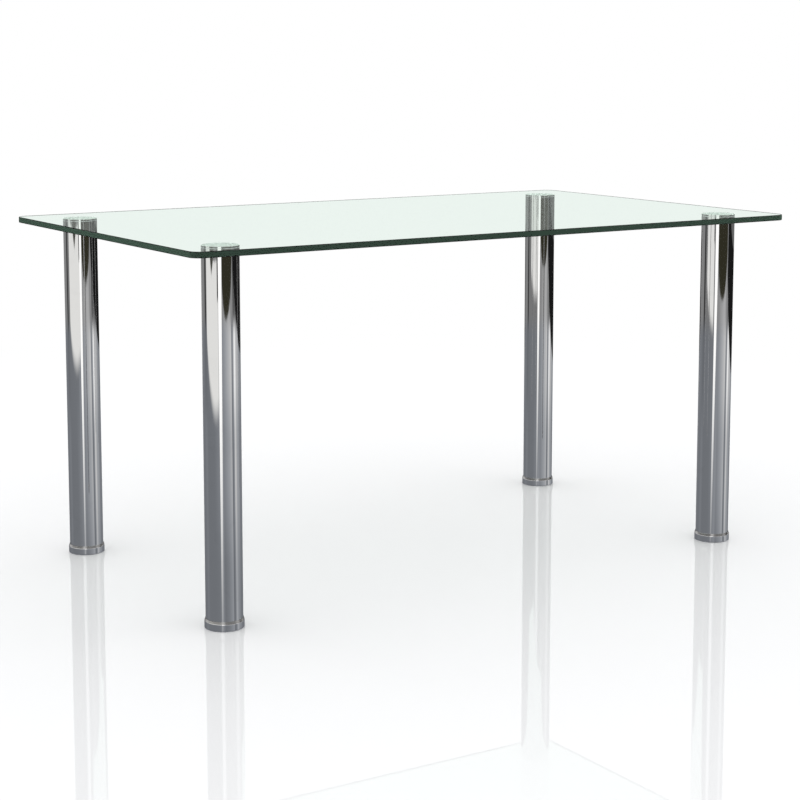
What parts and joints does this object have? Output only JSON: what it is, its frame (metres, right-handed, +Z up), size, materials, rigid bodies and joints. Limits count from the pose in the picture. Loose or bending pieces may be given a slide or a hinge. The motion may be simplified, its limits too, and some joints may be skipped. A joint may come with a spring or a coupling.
{
  "type": "dining table",
  "caption": "Rectangular dining table: a clear glass pane with rounded corners on round chrome legs that are bonded under it and stand on screw-adjusted feet.",
  "frame": {"origin": "on the floor under the middle of the glass, with the feet screwed right in", "axes": "+X along the table's length, +Y from its front to its back, +Z up"},
  "size_m": [1.5, 0.9, 0.765],
  "materials": {
    "glass": "clear tempered float glass with a green edge, polished flat edge and ground arris",
    "chrome": "bright chrome plate on steel",
    "stainless": "turned stainless steel",
    "adhesive": "clear cured adhesive film",
    "zinc_steel": "bright zinc-plated steel",
    "raw_steel": "bare steel plate, welded",
    "nylon": "black moulded nylon"
  },
  "bodies": {
    "table": {"glass_top": "glass", "bond_film_front_left": "adhesive", "bond_film_front_right": "adhesive", "bond_film_back_left": "adhesive", "bond_film_back_right": "adhesive", "bonding_plate_front_left": "stainless", "bonding_plate_front_right": "stainless", "bonding_plate_back_left": "stainless", "bonding_plate_back_right": "stainless", "joining_stud_front_left": "zinc_steel", "joining_stud_front_right": "zinc_steel", "joining_stud_back_left": "zinc_steel", "joining_stud_back_right": "zinc_steel", "end_plate_front_left": "raw_steel", "end_plate_front_right": "raw_steel", "end_plate_back_left": "raw_steel", "end_plate_back_right": "raw_steel", "leg_tube_front_left": "chrome", "leg_tube_front_right": "chrome", "leg_tube_back_left": "chrome", "leg_tube_back_right": "chrome", "foot_plug_front_left": "nylon", "foot_plug_front_right": "nylon", "foot_plug_back_left": "nylon", "foot_plug_back_right": "nylon", "plug_nut_front_left": "zinc_steel", "plug_nut_front_right": "zinc_steel", "plug_nut_back_left": "zinc_steel", "plug_nut_back_right": "zinc_steel"},
    "glide_front_left": {"foot_glide_front_left": "nylon"},
    "foot_front_left": {"foot_cup_front_left": "chrome", "levelling_screw_front_left": "zinc_steel", "jam_nut_front_left": "zinc_steel"},
    "glide_front_right": {"foot_glide_front_right": "nylon"},
    "foot_front_right": {"foot_cup_front_right": "chrome", "levelling_screw_front_right": "zinc_steel", "jam_nut_front_right": "zinc_steel"},
    "glide_back_left": {"foot_glide_back_left": "nylon"},
    "foot_back_left": {"foot_cup_back_left": "chrome", "levelling_screw_back_left": "zinc_steel", "jam_nut_back_left": "zinc_steel"},
    "glide_back_right": {"foot_glide_back_right": "nylon"},
    "foot_back_right": {"foot_cup_back_right": "chrome", "levelling_screw_back_right": "zinc_steel", "jam_nut_back_right": "zinc_steel"}
  },
  "joints": [
    {"name": "foot_travel_front_left", "type": "slide", "parent": "table", "child": "glide_front_left", "axis": [0, 0, -1], "range_m": [0, 0.009]},
    {"name": "foot_turn_front_left", "type": "hinge", "parent": "glide_front_left", "child": "foot_front_left", "pos_m": [-0.64, -0.342, 0], "axis": [0, 0, -1], "range_deg": [0, 2160]},
    {"name": "foot_travel_front_right", "type": "slide", "parent": "table", "child": "glide_front_right", "axis": [0, 0, -1], "range_m": [0, 0.009]},
    {"name": "foot_turn_front_right", "type": "hinge", "parent": "glide_front_right", "child": "foot_front_right", "pos_m": [0.64, -0.342, 0], "axis": [0, 0, -1], "range_deg": [0, 2160]},
    {"name": "foot_travel_back_left", "type": "slide", "parent": "table", "child": "glide_back_left", "axis": [0, 0, -1], "range_m": [0, 0.009]},
    {"name": "foot_turn_back_left", "type": "hinge", "parent": "glide_back_left", "child": "foot_back_left", "pos_m": [-0.64, 0.342, 0], "axis": [0, 0, -1], "range_deg": [0, 2160]},
    {"name": "foot_travel_back_right", "type": "slide", "parent": "table", "child": "glide_back_right", "axis": [0, 0, -1], "range_m": [0, 0.009]},
    {"name": "foot_turn_back_right", "type": "hinge", "parent": "glide_back_right", "child": "foot_back_right", "pos_m": [0.64, 0.342, 0], "axis": [0, 0, -1], "range_deg": [0, 2160]}
  ],
  "couplings": [
    {"joint": "foot_travel_front_left", "follows": "foot_turn_front_left", "m_per_rad": 0.00023873},
    {"joint": "foot_travel_front_right", "follows": "foot_turn_front_right", "m_per_rad": 0.00023873},
    {"joint": "foot_travel_back_left", "follows": "foot_turn_back_left", "m_per_rad": 0.00023873},
    {"joint": "foot_travel_back_right", "follows": "foot_turn_back_right", "m_per_rad": 0.00023873}
  ]
}
